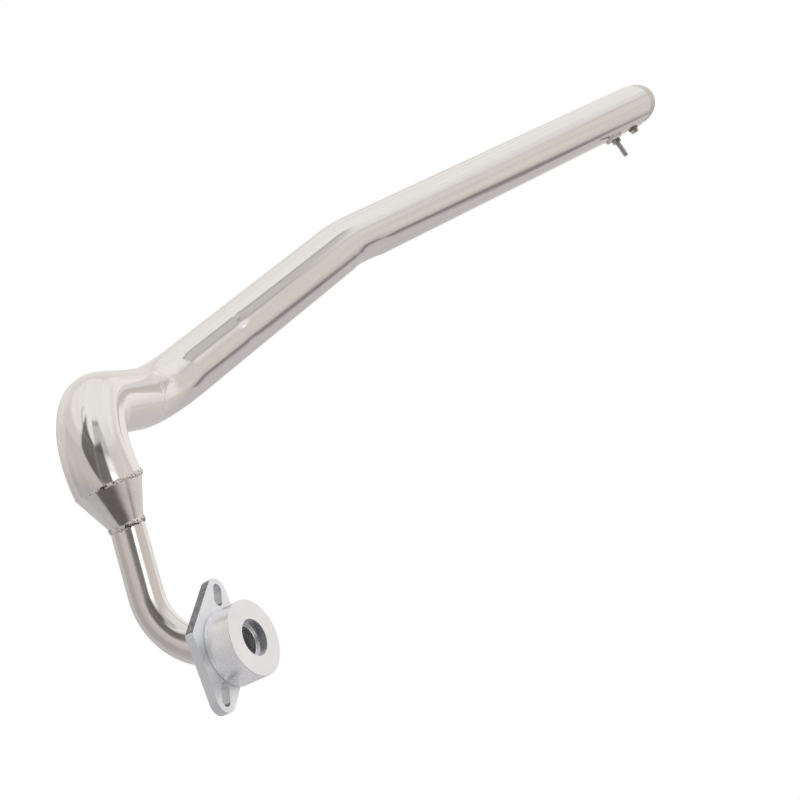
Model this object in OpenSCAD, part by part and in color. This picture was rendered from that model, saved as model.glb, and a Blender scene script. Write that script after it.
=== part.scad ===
// Exhaust pipe for a small motorbike: slotted flange with a thick collar, bent header,
// cone, large elbow and a long bent main tube with a slash-cut tail and a bolted-in baffle.
// The origin is the middle of the collar's mating face, the collar looks to -Y, +Z is up the
// line of the two slots. Millimetres.

/* [Main tube] */
// Outer diameter of the main tube and elbow
tube_od = 50.8; // [46:0.1:56]
// Wall of the main tube and elbow
tube_wall = 1.5; // [1.2:0.1:2]
// How much smaller a bend is than its straight tube, on the diameter
bend_neck = 0.3; // [0.16:0.02:0.6]
// Middle line's bend radius of the elbow
elbow_radius = 57; // [50:1:57]
// Middle line's bend radius of the long tube's first bend
first_radius = 85; // [70:1:95]
// Middle line's bend radius of the long tube's second bend
second_radius = 160; // [120:5:220]

/* [Route] */
// Corner of the header's bend
header_corner = [-19, 71, 21.5];
// Direction of the cone, from the header towards the elbow's corner
cone_lead = [-56.5, -5.5, 71.5];
// Corner of the large elbow
elbow_corner = [-116, 52.5, 165.5];
// Corner of the long tube's first bend
first_corner = [21.5, 102, 273];
// Corner of the long tube's second bend
second_corner = [147, -45, 446];
// Middle of the slash-cut end
tail_end = [422.7, -316.2, 685.6];

// Straight between the cone and the elbow's bend
elbow_lead = 3; // [2:0.5:8]
// How far the polished seam lies before the long tube's first bend
seam_back = 4; // [3:0.5:8]

/* [Header] */
// Outer diameter of the header tube
header_od = 25.4; // [24:0.1:28]
// Wall of the header tube
header_wall = 1.5; // [1.2:0.1:2]
// Middle line's bend radius of the header
header_radius = 50; // [42:1:56]
// Length of the cone
cone_length = 30; // [26:0.5:32]

/* [Collar] */
// Outer diameter of the collar
collar_od = 55; // [50:0.5:58]
// Length of the collar in front of the plate
collar_length = 22; // [16:0.5:26]
// Diameter of the mouth that takes the gasket
mouth_d = 26.6; // [25.5:0.1:29]
// Depth of the mouth
mouth_depth = 8; // [5:0.5:12]
// Diameter of the gas passage behind the mouth
passage_d = 22.4; // [20:0.1:23]
// Chamfer at the collar's front edge
front_chamfer = 0.3; // [0.2:0.1:1]
// Chamfer at the collar's back edge, by the plate
back_chamfer = 0.9; // [0.3:0.1:1.5]

/* [Flange plate] */
// Thickness of the plate
plate_t = 7; // [5:0.5:8]
// Distance between the middles of the slots
slot_spacing = 74; // [70:0.5:78]
// Length of a slot end to end
slot_length = 17; // [12:0.5:18]
// Width of a slot
slot_width = 8.5; // [6.5:0.1:9]
// Distance from the line of the slots to the collar's middle
collar_offset = 9; // [4:0.5:12]
// How far the collar's middle lies below the middle between the slots
collar_drop = 1.5; // [0:0.1:3]
// Metal left past the end of each slot
slot_end_wall = 4; // [3:0.5:6]
// Half the width of the plate
plate_half_width = 28.5; // [27:0.5:32]
// Radius of the plate's two ends
lobe_radius = 10; // [9:0.5:11]
// Radius of the plate's two side corners
corner_radius = 7; // [4:0.5:9]

/* [Welds] */
// Radius of the bead round the cone's small end
small_bead = 2.4; // [1.6:0.1:3]
// Radius of the bead round the cone's large end
large_bead = 1.7; // [1.2:0.1:2.4]
// How far the polished seam stands out
seam_height = 0.35; // [0.2:0.05:0.6]
// Height of the bead where the header meets the plate
foot_bead = 4; // [2.5:0.1:5]
// Radius of the bead round the stud's saddle
saddle_bead = 1.5; // [1:0.1:2]

/* [Tail] */
// Angle of the slash cut from square
slash_angle = 30; // [0:1:40]
// Direction of the slash cut's long side round the tube
slash_roll = -62; // [-90:1:-30]
// How far the liner stands out of the tube
liner_out = 12; // [4:0.5:14]
// Length of the liner inside the tube
liner_in = 34; // [30:1:60]
// Wall of the liner
liner_wall = 1.2; // [1:0.1:1.6]
// Gap between the liner and the tube
liner_gap = 0.2; // [0.1:0.05:0.3]

/* [Baffle] */
// Outer diameter of the perforated core
core_od = 30; // [24:1:34]
// Wall of the core
core_wall = 1.2; // [1:0.1:1.6]
// Length of the core
core_length = 150; // [110:5:220]
// Diameter of the core's holes
hole_d = 5; // [3:0.5:6]
// Holes along the core
hole_rows = 10; // [4:1:12]
// Pairs of holes in each ring
hole_pairs = 4; // [3:1:5]
// Thickness of the baffle's end discs
disc_t = 1.5; // [1:0.1:2.5]

/* [Fasteners] */
// Direction of the stud and the screw round the tube
stud_roll = 20; // [-20:1:60]
// Distance of the stud from the slash-cut end along the tube
stud_back = 47; // [40:1:70]
// Thread diameter of the stud
stud_d = 6; // [5:0.5:8]
// Height of the stud's tip above the tube
stud_height = 25.6; // [20:0.2:34]
// How much thinner the stud is where the saddle and the nut hold it
stud_waist = 0.6; // [0.4:0.1:1]
// Height of the waist that shows above the nut
waist_height = 0.5; // [0.3:0.1:1]
// Length of the saddle along the tube
saddle_length = 15; // [13:0.5:26]
// Width of the saddle
saddle_width = 13; // [12:0.5:16]
// Height of the saddle above the tube
saddle_height = 2.6; // [2:0.1:4]
// Distance of the stud from the saddle's rear end
saddle_rear = 5.8; // [5.8:0.1:8]
// Width of the nut across its flats
nut_flats = 10; // [8:1:13]
// Height of the nut
nut_height = 4.5; // [3.5:0.5:7]
// Distance of the baffle's screw from the slash-cut end along the tube
screw_back = 11; // [11:0.5:22]
// Thread diameter of the baffle's screw
screw_d = 6; // [5:0.5:6]
// Width of the screw's head across its flats
head_flats = 9; // [8:1:10]
// Height of the screw's head
head_height = 4; // [3:0.5:5]
// Diameter of the screw's washer
washer_d = 12; // [11:0.5:13]
// Thickness of the screw's washer
washer_t = 1.2; // [0.8:0.1:1.6]

/* [Hidden] */
$fn = 72;

steel = [0.80, 0.79, 0.78];
zinc = [0.74, 0.75, 0.76];
bead = [0.62, 0.60, 0.58];
satin = [0.55, 0.52, 0.49];
brass = [0.72, 0.58, 0.30];
dark = [0.50, 0.50, 0.50];

cut = 8 * tube_od;
lap = 0.5;
slot_z = slot_spacing / 2;
plate_half_length = slot_z + slot_length / 2 + slot_end_wall;
plate_front = collar_length;
plate_back = collar_length + plate_t;
header_start = [0, plate_back, 0];
cone_dir = unit(cone_lead);
elbow_setback = elbow_radius * tan(acos(cone_dir * unit(first_corner - elbow_corner)) / 2);
cone_start = elbow_corner - cone_dir * (elbow_setback + elbow_lead + cone_length);
header_dir = unit(cone_start - header_corner);
foot_dir = unit(header_corner - header_start);
cone_end = cone_start + cone_dir * cone_length;
tube_id = tube_od - 2 * tube_wall;
header_id = header_od - 2 * header_wall;
first_in = unit(first_corner - elbow_corner);
first_bend = first_corner - first_in * setback(elbow_corner, first_corner, second_corner, first_radius);
seam = first_bend - first_in * seam_back;
tail_dir = unit(tail_end - second_corner);
liner_od = tube_id - 2 * liner_gap;
liner_id = liner_od - 2 * liner_wall;
slash_reach = tube_od / 2 * tan(slash_angle);
disc_od = liner_id;
rear_disc_z = -liner_in + 3;
core_back = rear_disc_z - core_length;
head_seat = tube_od / 2;
stud_tip_bevel = 0.8;
stud_foot_d = stud_d - stud_waist;

function unit(v) = v / norm(v);
function setback(a, b, c, r) = r * tan(acos(unit(b - a) * unit(c - b)) / 2);

// Puts its children at p with their Z along d.
module along(p, d, roll = 0) {
    translate(p)
        rotate([0, acos(d.z), atan2(d.y, d.x)])
            rotate([0, 0, roll])
                children();
}

module rod(p, q, d) {
    along(p, unit(q - p)) cylinder(d = d, h = norm(q - p));
}

// One bend of a round bar at corner b, on the way from a to c, lapping into both straights.
module bend(a, b, c, r, d) {
    u = unit(b - a);
    w = unit(c - b);
    turn = acos(u * w);
    more = lap / r * 180 / PI;
    inward = unit(w - u * (u * w));
    beta = acos(u.z);
    alpha = atan2(u.y, u.x);
    x_dir = [cos(alpha) * cos(beta), sin(alpha) * cos(beta), -sin(beta)];
    y_dir = [-sin(alpha), cos(alpha), 0];
    along(b - u * setback(a, b, c, r), u, atan2(inward * y_dir, inward * x_dir))
        translate([r, 0, 0])
            rotate([90, 0, 0])
                rotate([0, 0, 180 - turn - more])
                    rotate_extrude(angle = turn + 2 * more)
                        translate([r, 0]) circle(d = d - bend_neck);
}

// A straight, a bend and a straight, from p by corner b to q.
module bent_bar(p, b, q, r, d) {
    back = setback(p, b, q, r);
    rod(p, b - unit(b - p) * back, d);
    bend(p, b, q, r, d);
    rod(b + unit(q - b) * back, q, d);
}

// Everything on the far side of the plane through p that faces d.
module beyond(p, d) {
    along(p, d) translate([-cut / 2, -cut / 2, 0]) cube([cut, cut, cut]);
}

// A frame at the middle of the slash-cut end, Z out along the tail.
module at_tail(roll = 0) {
    along(tail_end, tail_dir, roll) children();
}

// A frame on the tail's middle line, Z out along the stud and screw, X along the tube.
module at_stud(back) {
    at_tail(stud_roll) translate([0, 0, -back]) rotate([0, 90, 0]) children();
}

// What lies past the slash cut, moved out by an amount.
module past_slash(out = 0) {
    at_tail(slash_roll)
        translate([0, 0, out])
            rotate([0, -slash_angle, 0])
                translate([-cut / 2, -cut / 2, 0]) cube([cut, cut, cut]);
}

module plate_outline(t) {
    lobe_z = plate_half_length - lobe_radius;
    corner_x = plate_half_width - corner_radius;
    run = norm([corner_x, lobe_z]);
    turn = asin((lobe_radius - corner_radius) / run);
    lean = atan2(lobe_z, corner_x) + turn;
    nx = sin(lean) * 0.995;
    nz = cos(lean) * 0.995;
    linear_extrude(t)
        polygon([
            [corner_x + corner_radius * nx, corner_radius * nz],
            [lobe_radius * nx, lobe_z + lobe_radius * nz],
            [-lobe_radius * nx, lobe_z + lobe_radius * nz],
            [-corner_x - corner_radius * nx, corner_radius * nz],
            [-corner_x - corner_radius * nx, -corner_radius * nz],
            [-lobe_radius * nx, -lobe_z - lobe_radius * nz],
            [lobe_radius * nx, -lobe_z - lobe_radius * nz],
            [corner_x + corner_radius * nx, -corner_radius * nz]
        ]);
    for (s = [-1, 1]) {
        translate([0, s * lobe_z, 0]) cylinder(r = lobe_radius, h = t);
        translate([s * corner_x, 0, 0]) cylinder(r = corner_radius, h = t);
    }
}

module flange_plate() {
    reach = (slot_length - slot_width) / 2;
    color(zinc)
        difference() {
            translate([-collar_offset, plate_back, collar_drop]) rotate([90, 0, 0]) plate_outline(plate_t);
            translate([0, plate_back + 1, 0]) rotate([90, 0, 0]) cylinder(d = passage_d, h = plate_t + 2);
            for (s = [-1, 1])
                translate([-collar_offset, plate_back + 1, collar_drop + s * slot_z])
                    rotate([90, 0, 0]) {
                        translate([0, reach, 0]) cylinder(d = slot_width, h = plate_t + 2);
                        translate([0, -reach, 0]) cylinder(d = slot_width, h = plate_t + 2);
                        translate([-slot_width * 0.499, -reach, 0])
                            cube([slot_width * 0.998, 2 * reach, plate_t + 2]);
                    }
        }
}

module collar() {
    r = collar_od / 2;
    f = front_chamfer;
    c = back_chamfer;
    color(zinc)
        rotate([-90, 0, 0])
            rotate_extrude()
                polygon([
                    [mouth_d / 2, 0],
                    [r - f, 0],
                    [r, f],
                    [r, collar_length - c],
                    [r - c, collar_length],
                    [passage_d / 2, collar_length],
                    [passage_d / 2, mouth_depth + f],
                    [passage_d / 2 + f, mouth_depth],
                    [mouth_d / 2, mouth_depth]
                ]);
}

module header_tube() {
    color(steel)
        difference() {
            header_bar(header_od, header_od / 2);
            header_bar(header_id, header_od / 2 + 2);
            beyond(header_start, [0, -1, 0]);
            beyond(cone_start, cone_dir);
        }
}

module header_bar(d, over) {
    bent_bar(header_start - foot_dir * over, header_corner, cone_start + header_dir * over,
        header_radius, d);
}

module foot_weld() {
    back = header_od / 2;
    ahead = header_od / 2 + foot_bead;
    color(bead)
        difference() {
            along(header_start - foot_dir * back, foot_dir)
                cylinder(r1 = header_od / 2 + foot_bead + 2.6, r2 = header_od / 2 + 0.2, h = back + ahead);
            rod(header_start - foot_dir * (back + 2), header_start + foot_dir * (ahead + 2), header_od);
            beyond(header_start, [0, -1, 0]);
            beyond(header_start + [0, foot_bead, 0], [0, 1, 0]);
        }
}

module header_weld() {
    slope = (tube_od - header_od) / 2 / cone_length;
    color(bead)
        difference() {
            along(cone_start, cone_dir)
                rotate_extrude()
                    difference() {
                        translate([header_od / 2 + 0.35, -0.5]) circle(r = small_bead);
                        polygon([
                            [0, -8],
                            [header_od / 2 - 1, -8],
                            [header_od / 2 - 1, 0],
                            [header_od / 2, 0],
                            [header_od / 2 + 8 * slope, 8],
                            [0, 8]
                        ]);
                    }
            rod(cone_start - header_dir * 3 * small_bead, cone_start + header_dir * 3 * small_bead,
                header_od + 0.06);
        }
}

module cone_solid(wall) {
    along(cone_start, cone_dir)
        cylinder(r1 = header_od / 2 - wall, r2 = tube_od / 2 - wall, h = cone_length);
}

module cone() {
    slope = (tube_od - header_od) / 2 / cone_length;
    color(steel)
        difference() {
            cone_solid(0);
            along(cone_start - cone_dir, cone_dir)
                cylinder(r1 = header_od / 2 - header_wall - slope,
                    r2 = tube_od / 2 - tube_wall + slope, h = cone_length + 2);
        }
}

module cone_weld() {
    color(bead)
        along(cone_end, cone_dir)
            rotate_extrude()
                difference() {
                    translate([tube_od / 2 - 0.5, 0]) circle(r = large_bead);
                    polygon([
                        [header_od / 2 - 2, -cone_length],
                        [header_od / 2, -cone_length],
                        [tube_od / 2, 0],
                        [tube_od / 2, 6],
                        [header_od / 2 - 2, 6]
                    ]);
                }
}

module elbow_tube() {
    color(steel)
        difference() {
            bent_bar(cone_end, elbow_corner, seam, elbow_radius, tube_od);
            bent_bar(cone_end - cone_dir, elbow_corner, seam + first_in, elbow_radius, tube_id);
        }
}

module seam_weld() {
    r = tube_od / 2 + seam_height;
    color(steel)
        along(seam, first_in)
            rotate_extrude()
                polygon([
                    [tube_od / 2, -2.2],
                    [r - 0.1, -1.2],
                    [r, 0],
                    [tube_od / 2, 0]
                ]);
}

// The long tube as a bar, run on past both of its ends.
module main_bar(d, over_front, over_back) {
    back1 = setback(elbow_corner, first_corner, second_corner, first_radius);
    back2 = setback(first_corner, second_corner, tail_end, second_radius);
    mid = unit(second_corner - first_corner);
    rod(seam - first_in * over_front, first_bend, d);
    bend(elbow_corner, first_corner, second_corner, first_radius, d);
    rod(first_corner + mid * back1, second_corner - mid * back2, d);
    bend(first_corner, second_corner, tail_end, second_radius, d);
    rod(second_corner + tail_dir * back2, tail_end + tail_dir * over_back, d);
}

module main_tube() {
    color(steel)
        difference() {
            main_bar(tube_od, 0, slash_reach + 2);
            main_bar(tube_id, 1, slash_reach + 4);
            past_slash();
            at_stud(screw_back) cylinder(d = screw_d + 0.6, h = tube_od);
        }
}

module tail_liner() {
    color(satin)
        difference() {
            at_tail() translate([0, 0, -liner_in]) cylinder(d = liner_od, h = liner_in + liner_out + 30);
            at_tail() translate([0, 0, -liner_in - 1]) cylinder(d = liner_id, h = liner_in + liner_out + 40);
            past_slash(liner_out);
            at_stud(screw_back) cylinder(d = screw_d + 0.6, h = tube_od);
        }
}

module disc(z) {
    at_tail()
        translate([0, 0, z])
            difference() {
                cylinder(d = disc_od, h = disc_t);
                translate([0, 0, -1]) cylinder(d = core_od, h = disc_t + 2);
            }
}

module rear_disc() {
    color(satin) disc(rear_disc_z - disc_t);
}

module front_disc() {
    color(satin)
        at_tail()
            translate([0, 0, core_back])
                difference() {
                    cylinder(d = tube_id - 1, h = disc_t);
                    translate([0, 0, -1]) cylinder(d = core_od, h = disc_t + 2);
                }
}

module baffle_core() {
    pitch = (core_length - 20) / hole_rows;
    step = 180 / hole_pairs;
    bore = core_od / 2 - core_wall;
    color(satin)
        at_tail()
            translate([0, 0, core_back])
                difference() {
                    cylinder(d = core_od, h = core_length);
                    translate([0, 0, -1]) cylinder(r = bore, h = core_length + 2);
                    for (i = [0 : hole_rows - 1], j = [0 : 2 * hole_pairs - 1])
                        translate([0, 0, 10 + pitch * (i + 0.5)])
                            rotate([0, 90, (j + 0.5 * (i % 2)) * step])
                                translate([0, 0, bore - 2])
                                    cylinder(d = hole_d, h = core_wall + 4, $fn = 24);
                }
}

module screw_boss() {
    r = liner_id / 2;
    color(satin)
        at_stud(screw_back)
            difference() {
                translate([0, 0, r - 6]) cylinder(d = screw_d + 5, h = 6);
                translate([0, 0, r - 7]) cylinder(d = screw_d, h = 8);
                translate([-20, 0, 0])
                    rotate([0, 90, 0])
                        difference() {
                            cylinder(r = r + 8, h = 40);
                            translate([0, 0, -1]) cylinder(r = r, h = 42);
                        }
            }
}

module screw_washer() {
    color(dark)
        difference() {
            at_stud(screw_back)
                translate([0, 0, head_seat - 2]) cylinder(d = washer_d, h = washer_t + 2);
            rod(tail_end - tail_dir * (screw_back + 20), tail_end - tail_dir * (screw_back - 20), tube_od, $fn = 240);
            at_stud(screw_back) cylinder(d = screw_d + 0.4, h = tube_od);
        }
}

module baffle_screw() {
    color(brass)
        at_stud(screw_back) {
            translate([0, 0, head_seat + washer_t]) cylinder(d = head_flats / cos(30), h = head_height, $fn = 6);
            translate([0, 0, liner_id / 2 - 7.5]) cylinder(d = screw_d, h = head_seat + washer_t - liner_id / 2 + 7.6);
        }
}

module stud_saddle() {
    color(steel)
        difference() {
            at_stud(stud_back)
                translate([-saddle_rear, -saddle_width / 2, tube_od / 2 - 2])
                    cube([saddle_length, saddle_width, saddle_height + 2]);
            rod(tail_end - tail_dir * (stud_back + 30), tail_end - tail_dir * (stud_back - 30), tube_od, $fn = 240);
            at_stud(stud_back) cylinder(d = stud_foot_d, h = tube_od);
        }
}

module saddle_weld() {
    r = saddle_bead;
    color(bead)
        difference() {
            at_stud(stud_back)
                translate([-saddle_rear, 0, tube_od / 2 - 0.7]) {
                    for (s = [-1, 1])
                        translate([-r, s * saddle_width / 2, 0])
                            rotate([0, 90, 0])
                                cylinder(r = r, h = saddle_length + 2 * r);
                    for (e = [0, saddle_length])
                        translate([e, -saddle_width / 2 - r, 0])
                            rotate([-90, 0, 0])
                                cylinder(r = r + 0.15, h = saddle_width + 2 * r);
                }
            rod(tail_end - tail_dir * (stud_back + 30), tail_end - tail_dir * (stud_back - 30), tube_od, $fn = 240);
            at_stud(stud_back)
                translate([-saddle_rear, -saddle_width / 2, 0])
                    cube([saddle_length, saddle_width, tube_od]);
        }
}

module hanger_stud() {
    foot = tube_od / 2 + 0.1;
    top = tube_od / 2 + stud_height;
    free = tube_od / 2 + saddle_height + nut_height + waist_height;
    color(dark)
        at_stud(stud_back) {
            translate([0, 0, foot]) cylinder(d = stud_foot_d, h = free - foot + 1);
            translate([0, 0, free]) cylinder(d = stud_d, h = top - stud_tip_bevel - free);
            translate([0, 0, top - stud_tip_bevel])
                cylinder(d1 = stud_d, d2 = stud_d - 2 * stud_tip_bevel, h = stud_tip_bevel);
        }
}

module stud_nut() {
    color(dark)
        at_stud(stud_back)
            translate([0, 0, tube_od / 2 + saddle_height])
                difference() {
                    cylinder(d = nut_flats / cos(30), h = nut_height, $fn = 6);
                    translate([0, 0, -1]) cylinder(d = stud_foot_d, h = nut_height + 2);
                }
}

flange_plate();
collar();
foot_weld();
header_tube();
header_weld();
cone();
cone_weld();
elbow_tube();
seam_weld();
main_tube();
tail_liner();
baffle_core();
rear_disc();
front_disc();
screw_boss();
baffle_screw();
screw_washer();
stud_saddle();
saddle_weld();
hanger_stud();
stud_nut();
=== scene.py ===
"""Exhaust pipe: the dressed model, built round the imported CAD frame.

Everything is in metres in the part's own frame: the origin is the middle of the collar's
mating face, the collar looks to -Y, and +Z is up the line of the two slots.
"""

from __future__ import annotations

import logging
import math
from dataclasses import dataclass, field
from enum import Enum
from typing import Callable

import bmesh
import bpy
from mathutils import Matrix, Vector, noise

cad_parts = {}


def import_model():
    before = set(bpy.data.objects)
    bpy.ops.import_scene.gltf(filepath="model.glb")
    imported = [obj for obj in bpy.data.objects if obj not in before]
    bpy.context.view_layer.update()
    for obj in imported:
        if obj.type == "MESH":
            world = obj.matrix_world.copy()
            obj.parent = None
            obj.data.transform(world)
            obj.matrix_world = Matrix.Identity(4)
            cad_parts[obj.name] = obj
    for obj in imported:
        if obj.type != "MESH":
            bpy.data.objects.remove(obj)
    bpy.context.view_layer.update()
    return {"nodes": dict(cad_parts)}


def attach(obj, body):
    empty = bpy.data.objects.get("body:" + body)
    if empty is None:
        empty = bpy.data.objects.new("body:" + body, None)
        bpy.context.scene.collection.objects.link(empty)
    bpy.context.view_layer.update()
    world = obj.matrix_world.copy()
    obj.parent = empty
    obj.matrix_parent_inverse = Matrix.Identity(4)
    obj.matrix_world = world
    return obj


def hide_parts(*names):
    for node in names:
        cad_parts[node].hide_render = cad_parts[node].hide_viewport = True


LOG = logging.getLogger("exhaust_pipe")
MM = 0.001
BODY = "root"

Socket = bpy.types.NodeSocket
Colour = tuple[float, float, float]


def vec(x: float, y: float, z: float) -> Vector:
    """A point given in millimetres, in metres."""
    return Vector((x, y, z)) * MM


def clamp(value: float, low: float = 0.0, high: float = 1.0) -> float:
    """The value held between two limits."""
    return max(low, min(high, value))


def smooth(value: float) -> float:
    """An ease from 0 to 1 with flat ends."""
    t = clamp(value)
    return t * t * (3 - 2 * t)


# ------------------------------------------------------------------ route


@dataclass(frozen=True)
class Station:
    """One place on the pipe's middle line.

    Attributes:
        place: Point on the middle line.
        ahead: Unit direction of travel.
        side: Unit direction across, carried along without twist.
        run: Length travelled since the route's start.
    """

    place: Vector
    ahead: Vector
    side: Vector
    run: float

    @property
    def lift(self) -> Vector:
        """The third direction, square to the other two."""
        return self.ahead.cross(self.side)

    def around(self, angle: float) -> Vector:
        """Unit direction out of the middle line at an angle round it."""
        return self.side * math.cos(angle) + self.lift * math.sin(angle)


class Route:
    """A middle line of straights joined by round bends."""

    def __init__(self, corners: list[Vector], radii: list[float]) -> None:
        """Finds where each bend begins and ends.

        Args:
            corners: The start, each bend's corner, and the end.
            radii: Bend radius for each inner corner.
        """
        self.corners = corners
        self.pieces: list[tuple[str, float, tuple]] = []
        run = 0.0
        here = corners[0]
        self.bend_runs: list[tuple[float, float]] = []
        for index in range(1, len(corners) - 1):
            into = (corners[index] - corners[index - 1]).normalized()
            out = (corners[index + 1] - corners[index]).normalized()
            turn = into.angle(out)
            back = radii[index - 1] * math.tan(turn / 2)
            start = corners[index] - into * back
            self.pieces.append(("straight", run, (here, into, (start - here).length)))
            run += (start - here).length
            inward = (out - into * into.dot(out)).normalized()
            self.pieces.append(("bend", run, (start, into, inward, radii[index - 1], turn)))
            self.bend_runs.append((run, run + radii[index - 1] * turn))
            run += radii[index - 1] * turn
            here = corners[index] + out * back
        last = (corners[-1] - here).normalized()
        self.pieces.append(("straight", run, (here, last, (corners[-1] - here).length)))
        self.length = run + (corners[-1] - here).length

    def point(self, run: float) -> tuple[Vector, Vector]:
        """Place and direction at a length along the route; past its ends it goes straight on."""
        piece = self.pieces[0]
        for candidate in self.pieces:
            if candidate[1] <= run + 1e-9:
                piece = candidate
        kind, start, data = piece
        gone = run - start
        if kind == "straight":
            origin, ahead, _ = data
            return origin + ahead * gone, ahead
        origin, into, inward, radius, _ = data
        angle = gone / radius
        place = origin + into * (radius * math.sin(angle)) + inward * (radius * (1 - math.cos(angle)))
        return place, (into * math.cos(angle) + inward * math.sin(angle)).normalized()

    def stations(self, first: float, last: float, step: float, bend_step: float) -> list[Station]:
        """Stations between two lengths, closer together in the bends.

        Args:
            first: Length where the stations begin.
            last: Length where they end.
            step: Spacing on the straights.
            bend_step: Spacing in the bends.

        Returns:
            The stations in order, with a side direction carried along without twist.
        """
        marks = {first, last}
        edges = sorted({first, last} | {e for pair in self.bend_runs for e in pair if first < e < last})
        for low, high in zip(edges, edges[1:]):
            middle = (low + high) / 2
            bending = any(a <= middle <= b for a, b in self.bend_runs)
            count = max(1, math.ceil((high - low) / (bend_step if bending else step)))
            marks |= {low + (high - low) * k / count for k in range(count + 1)}
        kept: list[float] = []
        for mark in sorted(marks):
            if not kept or mark - kept[-1] > 1e-6:
                kept.append(mark)
        place, ahead = self.point(kept[0])
        side = ahead.orthogonal().normalized()
        found = [Station(place, ahead, side, kept[0])]
        for mark in kept[1:]:
            place, ahead = self.point(mark)
            turn = found[-1].ahead.rotation_difference(ahead)
            side = turn @ found[-1].side
            side = (side - ahead * side.dot(ahead)).normalized()
            found.append(Station(place, ahead, side, mark))
        return found


def spot(x: float, y: float, z: float) -> Vector:
    """A dataclass field that holds a point given in millimetres."""
    return field(default_factory=lambda: vec(x, y, z))


@dataclass(frozen=True)
class Plan:
    """The sizes and corners that the CAD source also uses."""

    tube: float = 25.4 * MM
    wall: float = 1.5 * MM
    header: float = 12.7 * MM
    cone_length: float = 30 * MM
    seam_back: float = 4 * MM
    slash: float = math.radians(30)
    slash_roll: float = math.radians(-62)
    liner_out: float = 12 * MM
    liner_in: float = 34 * MM
    liner: float = 23.7 * MM
    liner_wall: float = 1.2 * MM
    stud_roll: float = math.radians(20)
    stud_back: float = 47 * MM
    saddle_length: float = 15 * MM
    saddle_width: float = 13 * MM
    saddle_height: float = 2.6 * MM
    saddle_rear: float = 5.8 * MM
    screw_back: float = 11 * MM
    washer: float = 1.2 * MM
    plate_back: float = 29 * MM
    elbow_radius: float = 57 * MM
    elbow_lead: float = 3 * MM
    header_corner: Vector = spot(-19, 71, 21.5)
    cone_lead: Vector = spot(-56.5, -5.5, 71.5)
    elbow_corner: Vector = spot(-116, 52.5, 165.5)
    first_corner: Vector = spot(21.5, 102, 273)
    second_corner: Vector = spot(147, -45, 446)
    tail_end: Vector = spot(422.7, -316.2, 685.6)

    @property
    def header_start(self) -> Vector:
        """Where the header's middle line meets the plate's back."""
        return Vector((0, self.plate_back, 0))

    @property
    def cone_axis(self) -> Vector:
        """Unit direction of the cone, towards the elbow."""
        return self.cone_lead.normalized()

    @property
    def cone_start(self) -> Vector:
        """Middle of the cone's small end."""
        turn = self.cone_axis.angle(self.first_corner - self.elbow_corner)
        reach = self.elbow_radius * math.tan(turn / 2) + self.elbow_lead + self.cone_length
        return self.elbow_corner - self.cone_axis * reach

    def header_route(self) -> Route:
        """Middle line from the plate's back to the cone."""
        return Route([self.header_start, self.header_corner, self.cone_start], [50 * MM])

    def tube_route(self) -> Route:
        """Middle line from the cone's small end to the slash-cut end."""
        corners = [self.cone_start, self.elbow_corner, self.first_corner, self.second_corner, self.tail_end]
        return Route(corners, [self.elbow_radius, 85 * MM, 160 * MM])

    @property
    def tail(self) -> Vector:
        """Direction out of the tail."""
        return (self.tail_end - self.second_corner).normalized()

    def tail_frame(self, roll: float) -> tuple[Vector, Vector, Vector]:
        """Axes at the tail: the one at the roll angle, the next, and out along the tail."""
        ahead = self.tail
        tilt = math.acos(ahead.z)
        spin = math.atan2(ahead.y, ahead.x)
        x_axis = Vector((math.cos(spin) * math.cos(tilt), math.sin(spin) * math.cos(tilt), -math.sin(tilt)))
        y_axis = Vector((-math.sin(spin), math.cos(spin), 0.0))
        first = x_axis * math.cos(roll) + y_axis * math.sin(roll)
        return first, ahead.cross(first), ahead

    def slash_normal(self) -> Vector:
        """Normal of the slash cut's plane, pointing out of the pipe."""
        first, _, ahead = self.tail_frame(self.slash_roll)
        return (ahead * math.cos(self.slash) - first * math.sin(self.slash)).normalized()

    def stud_frame(self, back: float) -> tuple[Vector, Vector, Vector, Vector]:
        """Origin on the tail's middle line, axis out along the stud, axis along the tail, cross axis."""
        first, cross, ahead = self.tail_frame(self.stud_roll)
        return self.tail_end - ahead * back, first, ahead, cross


# ------------------------------------------------------------------ meshes


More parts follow.
